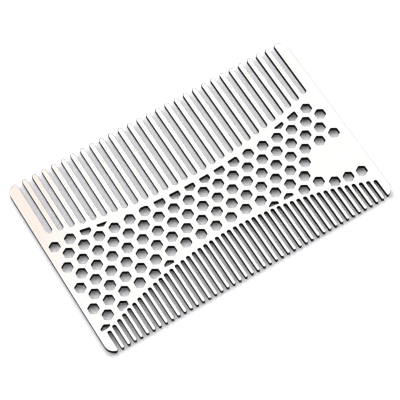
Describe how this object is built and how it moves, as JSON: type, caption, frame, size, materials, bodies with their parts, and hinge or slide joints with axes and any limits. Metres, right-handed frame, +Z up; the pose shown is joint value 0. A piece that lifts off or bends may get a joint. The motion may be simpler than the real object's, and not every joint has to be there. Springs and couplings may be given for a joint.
{
  "type": "beard comb",
  "caption": "Card-sized flat steel beard comb with coarse teeth on one long edge, fine teeth on the other and hexagonal holes through the waisted middle.",
  "frame": {"origin": "middle of the lower face of the card outline, on the surface that the comb lies on", "axes": "+X along the comb's length, +Y towards the tips of the coarse teeth, +Z up through the sheet's thickness"},
  "size_m": [0.0856, 0.054, 0.0013],
  "materials": {
    "steel": "satin"
  },
  "bodies": {
    "root": {"spine": "steel", "coarse_teeth": "steel", "fine_teeth": "steel", "coarse_end_guards": "steel", "fine_end_guards": "steel"}
  },
  "joints": []
}
